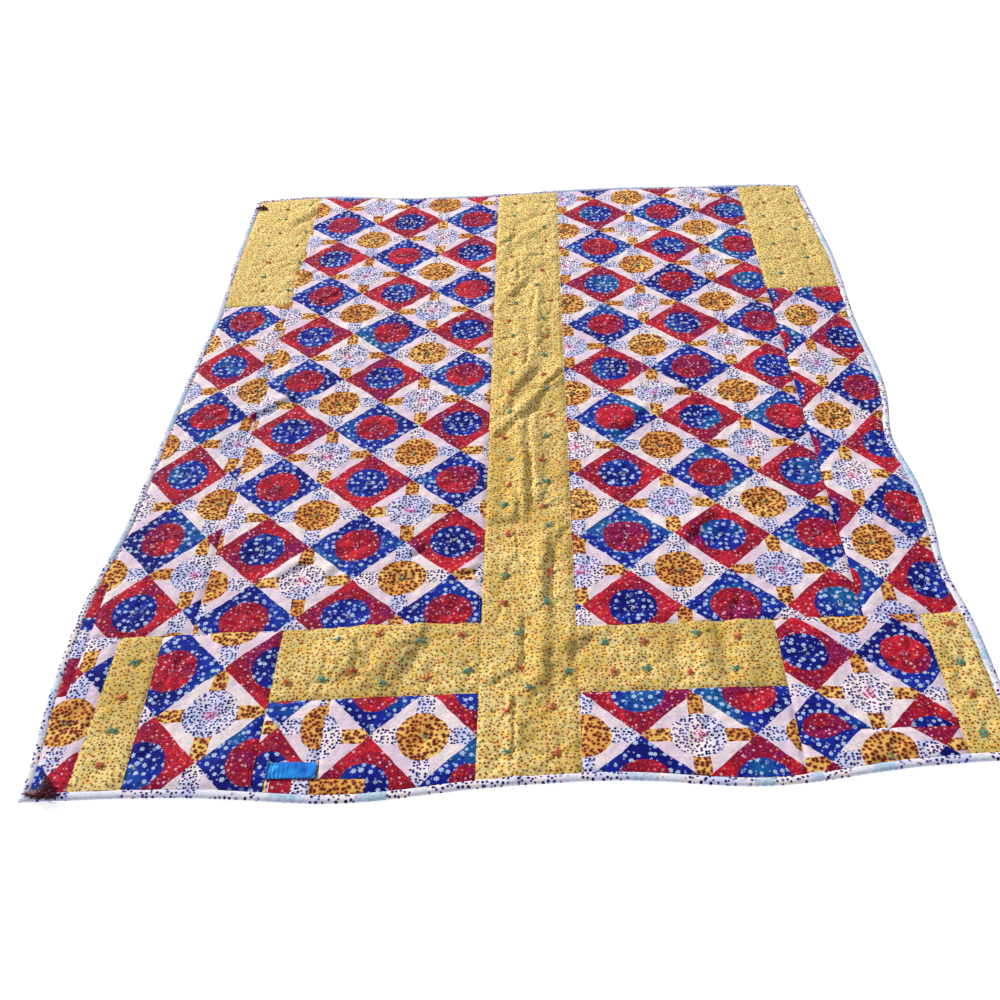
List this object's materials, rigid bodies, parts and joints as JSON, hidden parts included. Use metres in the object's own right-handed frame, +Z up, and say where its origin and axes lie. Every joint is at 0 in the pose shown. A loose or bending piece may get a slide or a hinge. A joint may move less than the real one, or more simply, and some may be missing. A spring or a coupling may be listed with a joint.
{
  "type": "patchwork quilt",
  "caption": "Thin tied patchwork quilt lying open, pieced from a diamond print and yellow calico, bound all round, with small yarn tufts at two corners.",
  "frame": {"origin": "centre of the quilt's outline, on the surface it lies on", "axes": "+X across the quilt, +Y from the near edge to the far edge, +Z up"},
  "size_m": [1.8934, 2.3694, 0.019],
  "materials": {
    "diamond_print": "matt printed cotton, blue, crimson, mustard and white",
    "yellow_calico": "matt printed cotton, small flowers on yellow",
    "pieced_scrap": "matt cotton scraps",
    "blue_patch": "plain bright blue cotton",
    "binding_cloth": "white cotton with navy flecks and pale blue lengths",
    "maroon_yarn": "soft maroon yarn"
  },
  "bodies": {
    "root": {"print_main_left": "diamond_print", "print_main_right": "diamond_print", "print_side_left": "diamond_print", "print_side_right": "diamond_print", "print_edge_near_left": "diamond_print", "print_near_left": "diamond_print", "print_under_left_outer": "diamond_print", "print_under_left_inner": "diamond_print", "print_under_right": "diamond_print", "print_near_right_upper": "diamond_print", "print_near_right_lower": "diamond_print", "yellow_centre": "yellow_calico", "yellow_far_left": "yellow_calico", "yellow_far_right": "yellow_calico", "yellow_cross_left": "yellow_calico", "yellow_cross_right": "yellow_calico", "yellow_near_left": "yellow_calico", "yellow_near_right": "yellow_calico", "pieced_strip_left": "pieced_scrap", "pieced_strip_near": "pieced_scrap", "patch_blue": "blue_patch", "binding_near": "binding_cloth", "binding_far": "binding_cloth", "binding_left": "binding_cloth", "binding_right": "binding_cloth", "tuft_near_left": "maroon_yarn", "tuft_far_left": "maroon_yarn"}
  },
  "joints": []
}
